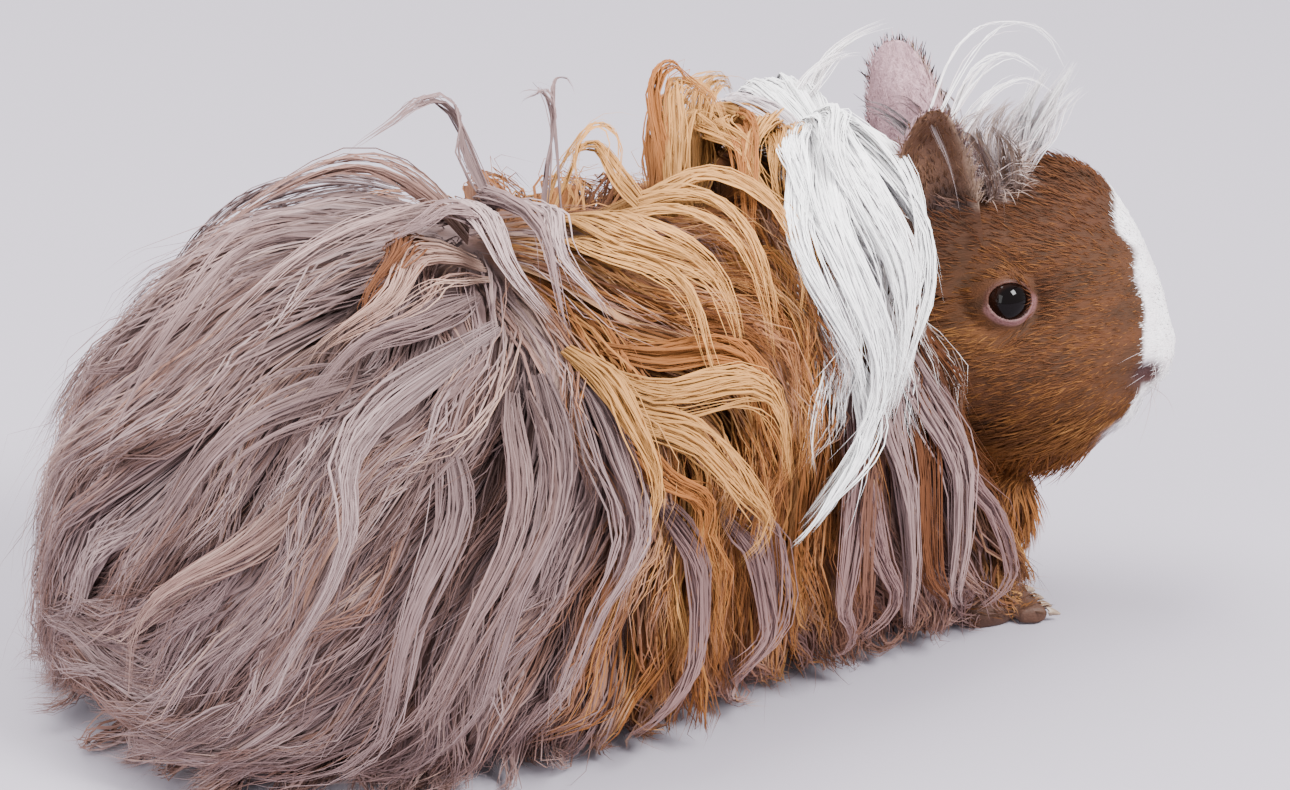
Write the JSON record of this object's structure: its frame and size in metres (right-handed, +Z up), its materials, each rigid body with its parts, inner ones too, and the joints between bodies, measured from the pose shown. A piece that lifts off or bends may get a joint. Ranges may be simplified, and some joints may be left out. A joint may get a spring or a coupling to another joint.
{
  "type": "guinea pig",
  "caption": "Long-haired guinea pig standing still on its paws, its coat falling to the floor and its head turned a little to the right.",
  "frame": {"origin": "centre of the bounding box's base, on the floor under the middle of the body", "axes": "+X runs along the body towards the nose, +Y is the animal's left, +Z is up from the floor"},
  "size_m": [0.2778, 0.1606, 0.1417],
  "materials": {
    "lilac_coat": "long soft hair, lilac-grey to beige",
    "ginger_coat": "long soft hair, ginger to buff",
    "white_coat": "soft hair, white",
    "face_fur": "short flat fur, ginger-brown with dark ticking",
    "ear_skin": "thin dark skin with sparse short hair",
    "eye": "wet dark brown",
    "paw_skin": "pinkish brown skin under sparse short hair",
    "claw_horn": "translucent pale horn"
  },
  "bodies": {
    "root": {"rump": "lilac_coat", "saddle": "ginger_coat", "shoulders": "white_coat", "chest": "ginger_coat", "head": "face_fur", "muzzle": "white_coat", "crest": "white_coat", "ear_right": "ear_skin", "eye_right": "eye", "foreleg_right": "ginger_coat", "forepaw_right": "paw_skin", "foreclaw_right_1": "claw_horn", "foreclaw_right_2": "claw_horn", "foreclaw_right_3": "claw_horn", "foreclaw_right_4": "claw_horn", "hindleg_right": "ginger_coat", "hindpaw_right": "paw_skin", "hindclaw_right_1": "claw_horn", "hindclaw_right_2": "claw_horn", "hindclaw_right_3": "claw_horn", "ear_left": "ear_skin", "eye_left": "eye", "foreleg_left": "ginger_coat", "forepaw_left": "paw_skin", "foreclaw_left_1": "claw_horn", "foreclaw_left_2": "claw_horn", "foreclaw_left_3": "claw_horn", "foreclaw_left_4": "claw_horn", "hindleg_left": "ginger_coat", "hindpaw_left": "paw_skin", "hindclaw_left_1": "claw_horn", "hindclaw_left_2": "claw_horn", "hindclaw_left_3": "claw_horn"}
  },
  "joints": []
}
